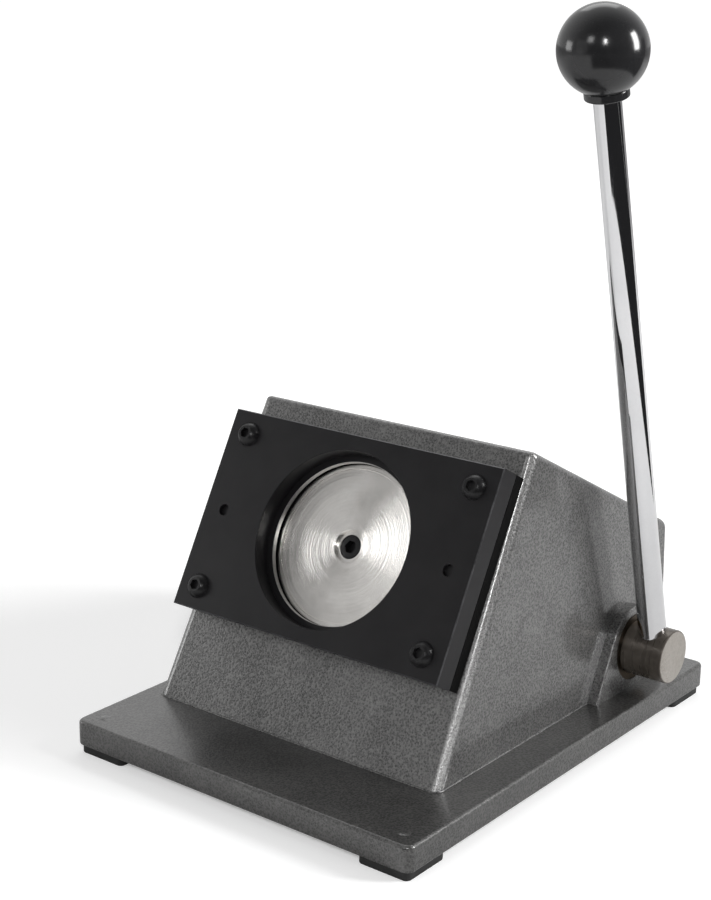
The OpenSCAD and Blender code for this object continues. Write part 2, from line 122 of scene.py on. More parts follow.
class Graph:
    def add(self, kind, settings=None, values=(), out=0):
        node = self.tree.nodes.new(kind)
        for key, value in (settings or {}).items():
            setattr(node, key, value)
        for key, value in values.items() if isinstance(values, dict) else enumerate(values):
            socket = node.inputs[key]
            if isinstance(value, Wire):
                self.tree.links.new(value.socket, socket)
            elif value is not None:
                socket.default_value = (*value, 1) if socket.type == "RGBA" and len(value) == 3 else value
        self.last = node
        return Wire(self, node.outputs[out]) if node.outputs else None


class Finish(Graph):
    def __init__(self, name):
        self.material = bpy.data.materials.new(name)
        self.material.use_nodes = True
        self.tree = self.material.node_tree
        self.tree.nodes.clear()
        self.place = self.add("ShaderNodeTexCoord", out=3)

    def noise(self, scale, detail=2.0, rough=0.5, place=None, out=0):
        return self.add("ShaderNodeTexNoise", {}, {"Vector": place or self.place, "Scale": scale,
                                                   "Detail": detail, "Roughness": rough}, out)

    def cells(self, scale, place):
        return self.add("ShaderNodeTexVoronoi", {"feature": "F1"}, {"Vector": place, "Scale": scale})

    def span(self, value, low, high, start=0.0, end=1.0):
        return self.add("ShaderNodeMapRange", {}, [value, low, high, start, end])

    def tint(self, amount, first, second):
        return self.add("ShaderNodeMix", {"data_type": "RGBA"}, {0: amount, 6: first, 7: second}, 2)

    def vector(self, operation, first, second, out=0):
        return self.add("ShaderNodeVectorMath", {"operation": operation}, [first, second], out)

    def scaled(self, vector, amount):
        return self.add("ShaderNodeVectorMath", {"operation": "SCALE"}, {0: vector, 3: amount})

    def parts(self, vector):
        self.add("ShaderNodeSeparateXYZ", {}, [vector])
        return [Wire(self, socket) for socket in self.last.outputs.values()]

    def along(self, place):  # metres along each of a place's own axes
        offset = self.vector("SUBTRACT", self.place, tuple(place.translation * mm))
        return [self.vector("DOT_PRODUCT", offset, tuple(place.col[i].to_3d()), 1) for i in range(3)]

    def bump(self, height, depth, strength=1.0):
        return self.add("ShaderNodeBump", {}, {"Height": height, "Distance": depth, "Strength": strength})

    def coat(self, **sockets):
        names = dict(baseColor="Base Color", roughness="Roughness", metallic="Metallic", normal="Normal",
                     coatWeight="Coat Weight", coatRoughness="Coat Roughness", specular="Specular IOR Level")
        values = {names[key]: value for key, value in sockets.items()}
        surface = self.add("ShaderNodeBsdfPrincipled", {}, values)
        self.add("ShaderNodeOutputMaterial", {}, {0: surface})
        return self.material


class Pattern(Graph):
    def __init__(self, name, sockets):
        self.tree = bpy.data.node_groups.new(name, "GeometryNodeTree")
        self.tree.interface.new_socket("Geometry", in_out="INPUT", socket_type="NodeSocketGeometry")
        for label, kind in sockets.items():
            self.tree.interface.new_socket(label, in_out="INPUT", socket_type="NodeSocket" + kind)
        self.tree.interface.new_socket("Geometry", in_out="OUTPUT", socket_type="NodeSocketGeometry")
        self.source = self.tree.nodes.new("NodeGroupInput")

    def given(self, label):
        return Wire(self, self.source.outputs[label])

    def finishWith(self, geometry):
        real = self.add("GeometryNodeRealizeInstances", {}, [geometry])
        finish = self.given("Finish")
        painted = self.add("GeometryNodeSetMaterial", {}, {"Geometry": real, "Material": finish})
        self.add("NodeGroupOutput", {}, [painted])

    def grow(self, mesh, values):
        worker = bpy.data.objects.new("worker", mesh)
        scene.collection.objects.link(worker)
        modifier = worker.modifiers.new("pattern", "NODES")
        modifier.node_group = self.tree
        for item in self.tree.interface.items_tree:
            if item.in_out == "INPUT" and item.name in values:
                modifier[item.identifier] = values[item.name]
        return settled(worker)


# mesh work

def settled(worker):
    bpy.context.view_layer.update()
    depsgraph = bpy.context.evaluated_depsgraph_get()
    mesh = bpy.data.meshes.new_from_object(worker.evaluated_get(depsgraph), depsgraph=depsgraph)
    worker.modifiers.clear()
    bpy.data.objects.remove(worker)
    return mesh


def meshOf(verts, faces):
    mesh = bpy.data.meshes.new("work")
    mesh.from_pydata([Vector(v) for v in verts], [], faces)
    tidyMesh(mesh)
    return mesh


def tidyMesh(mesh, recalculate=True, gap=1e-4):
    work = bmesh.new()
    work.from_mesh(mesh)
    bmesh.ops.remove_doubles(work, verts=work.verts, dist=gap)
    bmesh.ops.dissolve_degenerate(work, edges=work.edges, dist=gap / 10)
    if recalculate:
        bmesh.ops.recalc_face_normals(work, faces=work.faces)
    work.to_mesh(mesh)
    work.free()
    return mesh


def worked(mesh, kind, settings):
    worker = bpy.data.objects.new("worker", mesh)
    scene.collection.objects.link(worker)
    modifier = worker.modifiers.new(kind.lower(), kind)
    for key, value in settings.items():
        setattr(modifier, key, value)
    return settled(worker)


def joined(meshes):
    work = bmesh.new()
    for mesh in meshes:
        work.from_mesh(mesh)
    whole = bpy.data.meshes.new("work")
    work.to_mesh(whole)
    work.free()
    return whole


def cut(mesh, tool):
    cutter = bpy.data.objects.new("cutter", tool)
    scene.collection.objects.link(cutter)
    made = worked(mesh, "BOOLEAN", {"operation": "DIFFERENCE", "object": cutter, "solver": "EXACT"})
    bpy.data.objects.remove(cutter)
    return made


def placed(mesh, place):
    mesh.transform(place)
    return mesh


def cadCopy(node):
    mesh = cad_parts[node].data.copy()
    mesh.transform(Matrix.Scale(1 / mm, 4))
    return tidyMesh(mesh, False)


def outlineCorner(before, corner, after, radius, steps):
    back, ahead = (before - corner).normalized(), (after - corner).normalized()
    half = back.angle(ahead) / 2
    if radius <= 0 or half > 1.55:
        return [corner]
    reach = radius / math.tan(half)
    middle = corner + (back + ahead).normalized() * radius / math.sin(half)
    start, end = corner + back * reach - middle, corner + ahead * reach - middle
    turn = start.angle_signed(end)
    return [middle + Matrix.Rotation(-turn * i / steps, 2) @ start for i in range(steps + 1)]


def rounded(points, steps=5):  # points are (x, y) or (x, y, radius)
    corners = [Vector(point[:2]) for point in points]
    line = [corners[0]]
    for i in range(1, len(points) - 1):
        radius = points[i][2] if len(points[i]) > 2 else 0
        line += outlineCorner(corners[i - 1], corners[i], corners[i + 1], radius, steps)
    return [tuple(point) for point in line + [corners[-1]]]


# a profile of (radius, height) runs from pole to pole, or once round from a bore
def turned(profile, place, count=160):
    verts, faces, rings = [], [], []
    for radius, height in profile:
        if radius < 1e-6:
            rings.append([len(verts)] * count)
            verts.append((0, 0, height))
        else:
            rings.append(list(range(len(verts), len(verts) + count)))
            for i in range(count):
                angle = 2 * math.pi * i / count
                verts.append((radius * math.cos(angle), radius * math.sin(angle), height))
    closed = profile[0][0] > 1e-6
    pairs = list(zip(rings, rings[1:])) + ([(rings[-1], rings[0])] if closed else [])
    for low, high in pairs:
        for i in range(count):
            j = (i + 1) % count
            face = [low[i], low[j], high[j], high[i]]
            face = [v for k, v in enumerate(face) if v not in face[:k]]
            if len(face) > 2:
                faces.append(face)
    return placed(meshOf(verts, faces), place)


def drill(radius, low, high, place, count=96):
    return turned([(0, low), (radius, low), (radius, high), (0, high)], place, count)


def drills(radius, low, high, places, count=48):
    return [drill(radius, low, high, place, count) for place in places]


def hexTool(acrossFlats, low, high):
    corner = acrossFlats / math.sqrt(3)
    turns = [math.radians(60 * i) for i in range(6)]
    return prism([(corner * math.cos(turn), corner * math.sin(turn)) for turn in turns], low, high)


def prism(ring, low, high):
    count = len(ring)
    verts = [(x, y, low) for x, y in ring] + [(x, y, high) for x, y in ring]
    faces = [[i, (i + 1) % count, count + (i + 1) % count, count + i] for i in range(count)]
    return meshOf(verts, faces + [list(range(count)), list(range(count, 2 * count))])


# a rounded rectangle whose layers are (inset, height) from the bottom up
def slab(width, depth, corner, layers, steps=10):
    verts, faces, loops = [], [], []
    for inset, height in layers:
        loop = []
        for quarter, (sx, sy) in enumerate([(1, 1), (-1, 1), (-1, -1), (1, -1)]):
            for i in range(steps + 1):
                angle = math.radians(90 * quarter + 90 * i / steps)
                reach = max(corner - inset, 0.01)
                loop.append(len(verts))
                verts.append((sx * (width / 2 - corner) + reach * math.cos(angle),
                              sy * (depth / 2 - corner) + reach * math.sin(angle), height))
        loops.append(loop)
    for low, high in zip(loops, loops[1:]):
        for i in range(len(low)):
            j = (i + 1) % len(low)
            faces.append([low[i], low[j], high[j], high[i]])
    return meshOf(verts, faces + [loops[0], loops[-1]])


def roundLayers(bottom, top, low, high, steps=6):
    turns = [math.radians(90 * i / steps) for i in range(steps + 1)]
    rise = [(bottom - bottom * math.sin(turn), low + bottom - bottom * math.cos(turn)) for turn in turns]
    fall = [(top - top * math.cos(turn), high - top + top * math.sin(turn)) for turn in turns]
    return rise + fall


def finishMesh(mesh, angle):
    mesh.shade_smooth()
    mesh.set_sharp_from_angle(angle=math.radians(angle))
    return worked(mesh, "WEIGHTED_NORMAL", {"keep_sharp": True, "weight": 80})


def keep(name, mesh, finish, rides, replaces=(), angle=32):
    mesh = finishMesh(placed(tidyMesh(mesh, False, 2e-3), Matrix.Scale(mm, 4)), angle)
    mesh.name = name
    mesh.materials.clear()
    mesh.materials.append(finish)
    piece = bpy.data.objects.new(name, mesh)
    scene.collection.objects.link(piece)
    for polygon in mesh.polygons:
        polygon.material_index = 0
    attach(piece, rides)
    if replaces:
        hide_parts(*replaces)
    return piece


# finishes

def hammertoneEnamel(name, settings):
    look = Finish(name)
    drift = look.noise(settings["drift"], 2)
    swirl = look.noise(settings["cell"] * 0.8, 1.0, out=1)
    pits = look.cells(settings["cell"], look.vector("ADD", look.place, look.scaled(swirl, settings["warp"])))
    fine = look.noise(settings["fleck"], 3, 0.7)
    crest = look.span(pits, 0.15, 0.75)
    mottle = crest * 0.3 + fine * 1.1 + drift * 0.25
    shade = look.tint(look.span(mottle, 0.56, 1.08), settings["dark"], settings["light"])
    highlightBand = settings.get("paintedEdgeHighlight")
    if highlightBand:  # painted highlight: a bright band along the rounded right edge of the face, strongest near the bottom
        x, y, z = [part / mm for part in look.parts(look.place)]
        fromSide = body["halfWidth"] - (z - body["top"]) * math.tan(draft) - (x - body["ramX"])
        fromFace = y - body["faceY"] - (z - body["top"]) * math.tan(tilt)
        near = look.span(fromSide.largest(fromFace), highlightBand["reach"], highlightBand["reach"] * 0.6)
        # the painted highlight fades out going up the edge
        low = look.span(z, highlightBand["fade"], body["top"], highlightBand["least"], 1.0)
        shade = look.tint(near * low * look.span(fine, 0.35, 0.6), shade, highlightBand["shade"])
    rough = look.span(fine, 0.3, 0.7, *settings["rough"])
    relief = look.bump(crest + fine * 0.35, settings["relief"] * mm, settings["strength"])
    return look.coat(baseColor=shade, roughness=rough, metallic=settings["metallic"], normal=relief,
                     coatWeight=settings["coat"], coatRoughness=settings["coatRough"], specular=0.5)


def plainMetal(name, settings):
    look = Finish(name)
    cloud = look.noise(settings["cloud"], 4, 0.6)
    grain = look.noise(settings["grain"], 3, 0.7)
    marks = look.noise(settings["cloud"] * 6, 5, 0.75)
    shade = look.tint(look.span(cloud * 0.7 + grain * 0.3, 0.35, 0.65), settings["dark"], settings["light"])
    rough = look.span(marks * 0.6 + cloud * 0.4, 0.35, 0.65, *settings["rough"])
    relief = look.bump(grain, settings["relief"] * mm, 0.5)
    return look.coat(baseColor=shade, roughness=rough, metallic=settings.get("metallic", 1.0),
                     normal=relief, specular=settings.get("specular", 0.5))


# each ring left by the lathe leans a little in or out
def turnedMetal(name, settings, place):
    look = Finish(name)
    x, y = look.along(place)[:2]
    radius = (x * x + y * y) ** 0.5
    ring = look.add("ShaderNodeMath", {"operation": "FLOOR"}, [radius / (settings["pitch"] * mm)])
    chance, otherChance = (look.add("ShaderNodeTexWhiteNoise", {"noise_dimensions": "1D"}, {"W": seed})
                           for seed in (ring, ring + 0.37))
    wander = look.noise(settings["cloud"], 3, 0.6)
    slant = (chance + otherChance - 1.0) * settings["tilt"]
    alongX, alongY = x / (radius + 1e-6), y / (radius + 1e-6)
    radial = look.add("ShaderNodeCombineXYZ", {}, [alongX * place.col[0][i] + alongY * place.col[1][i]
                                                   for i in range(3)])
    toWorld = {"vector_type": "VECTOR", "convert_from": "OBJECT", "convert_to": "WORLD"}
    radial = look.add("ShaderNodeVectorTransform", toWorld, [radial])
    normal = look.vector("ADD", look.add("ShaderNodeNewGeometry", {}, (), 1), look.scaled(radial, slant))
    normal = look.add("ShaderNodeVectorMath", {"operation": "NORMALIZE"}, [normal])
    mottle = look.span(wander * 0.85 + chance * 0.15, 0.25, 0.75)
    shade = look.tint(mottle, settings["dark"], settings["light"])
    rough = look.span(wander, 0.3, 0.7, *settings["rough"])
    return look.coat(baseColor=shade, roughness=rough, metallic=1.0, normal=normal)


# dull brown along its length, ground bright at its right end
def shaftSteel(settings):
    look = Finish("aged shaft steel")
    end = look.span(look.parts(look.place)[0], settings["endX"] * mm - 0.0001, settings["endX"] * mm)
    cloud = look.noise(60, 4, 0.65)
    grain = look.noise(900, 4, 0.7)
    streak = look.noise(settings["streak"], 3, 0.6, look.vector("MULTIPLY", look.place, (1.0, 0.15, 0.15)))
    dull = look.tint(look.span(cloud * 0.6 + streak * 0.4, 0.3, 0.7), settings["dark"], settings["light"])
    bright = look.tint(look.span(grain * 0.5 + cloud * 0.5, 0.3, 0.7), settings["endDark"],
                       settings["endLight"])
    rough = look.span(streak, 0.3, 0.7, *settings["rough"])
    relief = look.bump(grain, settings["relief"] * mm, 0.5)
    return look.coat(baseColor=look.tint(end, dull, bright), roughness=rough,
                     metallic=look.span(end, 0, 1, 0.4, 1.0), normal=relief)


# black with painted highlights along its outer edges, and a bright ground cutting edge inside the mouth
def dieOxide(settings):
    look = Finish("die plate oxide")
    x, up, height = [part / mm for part in look.along(onFace)]
    radius = (x * x + up * up) ** 0.5
    land = look.span(radius, settings["landRadius"], settings["landRadius"] - 0.15)
    pastSide = abs(x) - (settings["halfWidth"] - settings["edge"])
    pastTop = abs(up) - (settings["halfHeight"] - settings["edge"])
    front = settings["front"] - settings["edge"]
    # painted highlight: a lighter, partly metallic band along the front face's outer edges
    edge = look.span(pastSide.largest(pastTop), 0.0, 0.2) * look.span(height, front - 0.1, front)
    cloud = look.noise(45, 4, 0.6)
    grain = look.noise(2200, 3, 0.7)
    rubAndSheen = look.noise(160, 4, 0.7)
    oxide = look.tint(look.span(cloud * 0.7 + grain * 0.3, 0.35, 0.65), settings["dark"], settings["light"])
    # the painted highlight is mixed in along the edges and broken up by noise
    oxide = look.tint(edge * look.span(rubAndSheen, 0.3, 0.6, 0.35, 1.0), oxide, settings["edgeHighlight"])
    ground = look.tint(look.span(grain, 0.3, 0.7), settings["groundDark"], settings["groundLight"])
    rough = look.span(rubAndSheen * 0.6 + cloud * 0.4, 0.35, 0.65, *settings["rough"])
    return look.coat(baseColor=look.tint(land, oxide, ground), roughness=rough,
                     metallic=land.largest(edge * 0.6), normal=look.bump(grain, 0.012 * mm, 0.5),
                     specular=settings["specular"])


def knobPlastic(settings):
    look = Finish("gloss black knob")
    smear = look.noise(35, 4, 0.6)
    dust = look.noise(1500, 2, 0.6)
    shade = look.tint(look.span(dust, 0.62, 0.8), settings["dark"], settings["light"])
    return look.coat(baseColor=shade, roughness=look.span(smear, 0.35, 0.7, *settings["rough"]),
                     normal=look.bump(smear, 0.02 * mm, 0.3), specular=0.5)


def rubber(settings):
    look = Finish("foot rubber")
    speck = look.noise(2400, 3, 0.7)
    cloud = look.noise(90, 3, 0.6)
    shade = look.tint(look.span(cloud * 0.6 + speck * 0.4, 0.3, 0.7), settings["dark"], settings["light"])
    return look.coat(baseColor=shade, roughness=look.span(speck, 0.3, 0.7, *settings["rough"]),
                     normal=look.bump(speck, 0.04 * mm, 0.5), specular=0.4)


enamel = dict(cell=1000, fleck=2900, drift=45, warp=0.0004, dark=(0.012, 0.012, 0.012),
              light=(0.2, 0.198, 0.195), rough=(0.34, 0.5), relief=0.12, strength=0.6, metallic=0.6,
              coat=0.8, coatRough=0.14)
paint = hammertoneEnamel("hammertone enamel", enamel)
# the housing's enamel carries a painted highlight down its front right edge
housingPaint = hammertoneEnamel("hammertone enamel on the housing", dict(
    enamel, paintedEdgeHighlight=dict(reach=3.4, fade=85, least=0.3, shade=(0.85, 0.845, 0.84))))
# the same enamel with a darker light tone on the base: painted shade for the dim light falling on its top
shadedBasePaint = hammertoneEnamel("hammertone enamel on the base, darkened as painted shade", dict(
    enamel, light=(0.12, 0.118, 0.115), coat=0.9, coatRough=0.2))
blackOxide = plainMetal("black oxide", dict(
    cloud=45, grain=2200, dark=(0.007, 0.0068, 0.0075), light=(0.013, 0.0125, 0.0135),
    rough=(0.28, 0.38), relief=0.012, metallic=0.0, specular=0.3))
# near black, painted shade: it stands in for the shadow in the gap behind the die plate
paintedShadowBlack = plainMetal("painted shadow black", dict(
    cloud=45, grain=2200, dark=(0.001, 0.001, 0.001), light=(0.002, 0.002, 0.002),
    rough=(0.55, 0.7), relief=0.012, metallic=0.0, specular=0.06))
turnedSteel = turnedMetal("turned steel", dict(
    pitch=0.02, tilt=0.27, cloud=90, dark=(0.76, 0.74, 0.71), light=(0.87, 0.85, 0.82),
    rough=(0.16, 0.24)), onFace)
groundSteel = plainMetal("ground steel", dict(
    cloud=90, grain=2600, dark=(0.5, 0.5, 0.49), light=(0.68, 0.68, 0.67), rough=(0.18, 0.3), relief=0.01))
guideSteel = plainMetal("guide steel", dict(
    cloud=60, grain=1800, dark=(0.3, 0.3, 0.31), light=(0.42, 0.42, 0.43), rough=(0.28, 0.4), relief=0.015))
springSteel = plainMetal("spring steel", dict(
    cloud=80, grain=2400, dark=(0.25, 0.25, 0.27), light=(0.4, 0.4, 0.42), rough=(0.2, 0.32), relief=0.012))
zincPlate = plainMetal("zinc plate", dict(
    cloud=120, grain=2000, dark=(0.42, 0.43, 0.45), light=(0.58, 0.59, 0.61), rough=(0.26, 0.4),
    relief=0.012))
bronze = plainMetal("bearing bronze", dict(
    cloud=70, grain=1600, dark=(0.36, 0.22, 0.1), light=(0.52, 0.34, 0.17), rough=(0.26, 0.42),
    relief=0.015))
oiledBronze = plainMetal("oiled bronze", dict(
    cloud=70, grain=1600, dark=(0.035, 0.028, 0.02), light=(0.09, 0.066, 0.042), rough=(0.3, 0.45),
    relief=0.015))
brass = plainMetal("brass", dict(
    cloud=70, grain=1600, dark=(0.5, 0.36, 0.13), light=(0.66, 0.5, 0.22), rough=(0.22, 0.36), relief=0.012))
chrome = plainMetal("polished chrome", dict(
    cloud=28, grain=900, dark=(0.7, 0.7, 0.71), light=(0.78, 0.78, 0.79), rough=(0.03, 0.075), relief=0.002))
agedSteel = shaftSteel(dict(
    endX=87.2, streak=260, dark=(0.055, 0.046, 0.038), light=(0.16, 0.14, 0.12), endDark=(0.34, 0.31, 0.275),
    endLight=(0.56, 0.53, 0.49), rough=(0.22, 0.36), relief=0.02))
dieBlack = dieOxide(dict(
    landRadius=35.3, halfWidth=70, halfHeight=44.5, edge=0.5, front=16, dark=(0.0085, 0.008, 0.009),
    light=(0.012, 0.0115, 0.0125), edgeHighlight=(0.1, 0.1, 0.105), groundDark=(0.42, 0.41, 0.4),
    groundLight=(0.62, 0.61, 0.59), rough=(0.32, 0.4), specular=0.22))
knobBlack = knobPlastic(dict(dark=(0.016, 0.016, 0.017), light=(0.032, 0.032, 0.033), rough=(0.14, 0.2)))
footRubber = rubber(dict(dark=(0.012, 0.012, 0.012), light=(0.03, 0.03, 0.03), rough=(0.6, 0.8)))
print("finishes made")


# base plate and feet

base = dict(width=176, depth=229, centreX=-7.23, low=4, high=15, corner=4, topRound=1.5, lowRound=0.7,
            footScrewIn=9, footScrewBore=2.52, bodyScrewX=35, bodyScrewY=(-48, 93), bodyScrewBore=3.02,
            bodyHeadBore=5.0, bodyHeadTop=10)
casting = slab(base["width"], base["depth"], base["corner"],
               roundLayers(base["lowRound"], base["topRound"], base["low"], base["high"]))
tipX, tipY = base["width"] / 2 - base["footScrewIn"], base["depth"] / 2 - base["footScrewIn"]
casting = cut(casting, joined(drills(base["footScrewBore"], 0, 20, fourPlaces(tipX, tipY))))
casting = placed(casting, shifted(base["centreX"]))
screwsAt = [shifted(body["ramX"] + side * base["bodyScrewX"], y)
            for side in (-1, 1) for y in base["bodyScrewY"]]
casting = cut(casting, joined(drills(base["bodyScrewBore"], 0, 20, screwsAt)))
casting = cut(casting, joined(drills(base["bodyHeadBore"], 0, base["bodyHeadTop"], screwsAt, 64)))
keep("base_casting", casting, shadedBasePaint, "frame", ["base_plate"])

repeats = Pattern("repeat on points", {"Piece": "Object", "Turn": "Float", "Loose": "Float", "Seed": "Int",
                                       "Finish": "Material"})
index = repeats.add("GeometryNodeInputIndex")
chance = repeats.add("FunctionNodeRandomValue", {"data_type": "FLOAT"},
                     {2: repeats.given("Loose") * -1.0, 3: repeats.given("Loose"), 7: index,
                      8: repeats.given("Seed")}, 1)
spin = repeats.add("ShaderNodeCombineXYZ", {}, [0.0, 0.0, index * repeats.given("Turn") + chance])
pieceInfo = repeats.add("GeometryNodeObjectInfo", {"transform_space": "ORIGINAL"},
                        [repeats.given("Piece")], 4)
copies = repeats.add("GeometryNodeInstanceOnPoints", {}, {
    "Points": repeats.given("Geometry"), "Instance": pieceInfo, "Rotation": spin})
repeats.finishWith(copies)


def repeated(piece, points, finish, turn=0.0, loose=0.0, seed=1):
    sample = bpy.data.objects.new("sample", piece)
    scene.collection.objects.link(sample)
    made = repeats.grow(meshPoints(points), {"Piece": sample, "Turn": turn, "Loose": loose, "Seed": seed,
                                             "Finish": finish})
    bpy.data.objects.remove(sample)
    return made


def meshPoints(points):
    mesh = bpy.data.meshes.new("points")
    mesh.from_pydata([Vector(point) for point in points], [], [])
    return mesh


foot = dict(side=24, height=4, corner=2.5, inset=1.5, lowRound=0.5, topRound=0.15, bore=2.52, headBore=4.52,
            headTop=3.2)
pad = slab(foot["side"], foot["side"], foot["corner"],
           roundLayers(foot["lowRound"], foot["topRound"], 0, foot["height"]))
middle = foot["inset"] + foot["side"] / 2
screwAt = shifted(middle - base["footScrewIn"], middle - base["footScrewIn"])
pad = cut(pad, drill(foot["bore"], -1, 5, screwAt))
pad = cut(pad, drill(foot["headBore"], -1, foot["headTop"], screwAt))
footX, footY = base["width"] / 2 - middle, base["depth"] / 2 - middle
corners = [(footX, footY), (-footX, footY), (-footX, -footY), (footX, -footY)]
pads = repeated(pad, [(base["centreX"] + x, y, 0) for x, y in corners], footRubber, math.radians(90))
keep("foot_pads", pads, footRubber, "frame", ["rubber_feet"])

tip = dict(radius=2.5, deep=0.4, crown=0.3)
dome = [(0, -tip["deep"]), (tip["radius"], -tip["deep"]), (tip["radius"], 0.0),
        (tip["radius"] * 0.8, tip["crown"] * 0.6), (tip["radius"] * 0.4, tip["crown"] * 0.95),
        (0, tip["crown"])]
tipPoints = [(base["centreX"] + x, y, base["high"])
             for x, y in [(-tipX, -tipY), (tipX, -tipY), (tipX, tipY)]]
keep("screw_tips", repeated(turned(dome, asDrawn, 40), tipPoints, shadedBasePaint), shadedBasePaint, "frame")
print("base and feet made")


# housing

shell = dict(frontEdge=4.2, sideTop=2.4, ridge=2.6, roofBack=5.0, backEdge=3.2, skin=3.5, faceBore=35.97,
             screwBore=3.04, pinBore=2.54, throughFace=(-6, 2), shaftBore=15.04, throughSide=(66, 84))


def wedge(skin, low):
    high = body["top"] + body["height"]
    frontLow = body["faceY"] + (low - body["top"]) * math.tan(tilt) - skin / math.cos(tilt)
    ridgeY = body["faceY"] + body["height"] * math.tan(tilt)
    backY = body["backY"] + skin
    roofBackZ = high - (body["backY"] - ridgeY) * math.tan(roof)
    rise = skin * 1.1  # near enough to the skin measured straight up
    side = [(frontLow, low), (ridgeY, high + rise), (backY, roofBackZ + rise), (backY, low)]
    verts = [(body["ramX"] + way * (halfWidth(z) + skin), y, z) for way in (-1, 1) for y, z in side]
    faces = [[0, 1, 2, 3], [7, 6, 5, 4]] + [[i, 4 + i, 4 + (i + 1) % 4, (i + 1) % 4] for i in range(4)]
    return meshOf(verts, faces)


block = wedge(0, body["top"])
weights = block.attributes.new("bevel_weight_edge", "FLOAT", "EDGE")
largest = max(shell["frontEdge"], shell["roofBack"])
for edge in block.edges:
    first, second = (block.vertices[i].co for i in edge.vertices)
    if max(first.z, second.z) < body["top"] + 1:
        radius = 0
    elif abs(first.x - second.x) > 50:
        radius = shell["ridge"] if min(first.z, second.z) > 130 else shell["roofBack"]
    elif max(first.y, second.y) < 0:
        radius = shell["frontEdge"]
    elif min(first.y, second.y) > 100:
        radius = shell["backEdge"]
    else:
        radius = shell["sideTop"]
    weights.data[edge.index].value = radius / largest
block = worked(block, "BEVEL", {"width": largest, "segments": 7, "limit_method": "WEIGHT",
                                "offset_type": "OFFSET", "miter_outer": "MITER_ARC", "harden_normals": False})
hollow = cut(wedge(-shell["skin"], body["top"] - 3), cadCopy("housing"))
block = cut(block, hollow)
tools = [drill(shell["faceBore"], *shell["throughFace"], onFace, 128),
         drill(shell["shaftBore"], *shell["throughSide"], onShaft)]
tools += drills(shell["screwBore"], *shell["throughFace"], [onFace @ place for place in screwPlaces])
tools += drills(shell["pinBore"], *shell["throughFace"], [onFace @ place for place in pinPlaces])
keep("housing_shell", cut(block, joined(tools)), housingPaint, "frame", ["housing"])

sweep = Pattern("sweep along a line", {"Radius": "Float", "Sides": "Int", "Finish": "Material"})
path = sweep.add("GeometryNodeMeshToCurve", {}, [sweep.given("Geometry")])
section = sweep.add("GeometryNodeCurvePrimitiveCircle", {}, {"Resolution": sweep.given("Sides"),
                                                             "Radius": sweep.given("Radius")})
tube = sweep.add("GeometryNodeCurveToMesh", {}, {"Curve": path, "Profile Curve": section, "Fill Caps": True})
sweep.finishWith(tube)


def ringMesh(points):
    count = len(points)
    mesh = bpy.data.meshes.new("ring")
    mesh.from_pydata([Vector(point) for point in points], [(i, (i + 1) % count) for i in range(count)], [])
    return mesh


# the paint gathered where the housing stands on the base
seam = dict(radius=0.5, tuck=0.05, corner=shell["frontEdge"] * 0.9)
seamX = halfWidth(body["top"]) - seam["tuck"] - seam["corner"]
ring = []
for quarter, (sideX, sideY) in enumerate([(1, 1), (-1, 1), (-1, -1), (1, -1)]):
    wallY = body["backY"] if sideY > 0 else body["faceY"]
    for i in range(7):
        angle = math.radians(90 * quarter + 15 * i)
        ring.append((body["ramX"] + sideX * seamX + seam["corner"] * math.cos(angle),
                     wallY - sideY * (seam["corner"] + seam["tuck"]) + seam["corner"] * math.sin(angle),
                     body["top"] + seam["tuck"]))
bead = sweep.grow(ringMesh(ring), {"Radius": seam["radius"], "Sides": 12, "Finish": paint})
keep("paint_seam", tidyMesh(bead), paint, "frame")
print("housing made")


# bearing plate

arch = dict(thick=5, radius=18.5, foot=31, edge=0.9, bore=15.02, steps=48)
rise = shaftZ - body["top"]
heading = math.atan2(rise, arch["foot"]) + math.asin(arch["radius"] / math.hypot(arch["foot"], rise))
outline = [(-arch["foot"], -rise)]
for i in range(arch["steps"] + 1):
    turn = math.pi / 2 + heading - 2 * heading * i / arch["steps"]
    outline.append((arch["radius"] * math.cos(turn), arch["radius"] * math.sin(turn)))
outline.append((arch["foot"], -rise))
count = len(outline)
verts = []
for out in (0, arch["thick"]):
    verts += [(body["ramX"] + halfWidth(shaftZ + z) + out, shaftY + y, shaftZ + z) for y, z in outline]
plate = meshOf(verts, [list(range(count)), list(range(count, 2 * count))] +
               [[i, (i + 1) % count, count + (i + 1) % count, count + i] for i in range(count)])
weights = plate.attributes.new("bevel_weight_edge", "FLOAT", "EDGE")
for edge in plate.edges:
    ends = [plate.vertices[i].co for i in edge.vertices]
    outer = all(end.x > body["ramX"] + halfWidth(end.z) + 1 for end in ends)
    grounded = all(end.z < body["top"] + 0.1 for end in ends)
    weights.data[edge.index].value = 1.0 if outer and not grounded else 0.0
plate = worked(plate, "BEVEL", {"width": arch["edge"], "segments": 4, "limit_method": "WEIGHT"})
plate = cut(plate, drill(arch["bore"], 60, 100, onShaft, 128))
keep("bearing_arch", plate, paint, "frame", ["side_bearing_plate"])
print("bearing plate made")


# die plate

die = dict(width=140, height=89, low=5.5, high=16, cut=35, mouth=38, land=2, edge=0.4, mouthEdge=0.35,
           screwBore=3.02, pinBore=2.52)


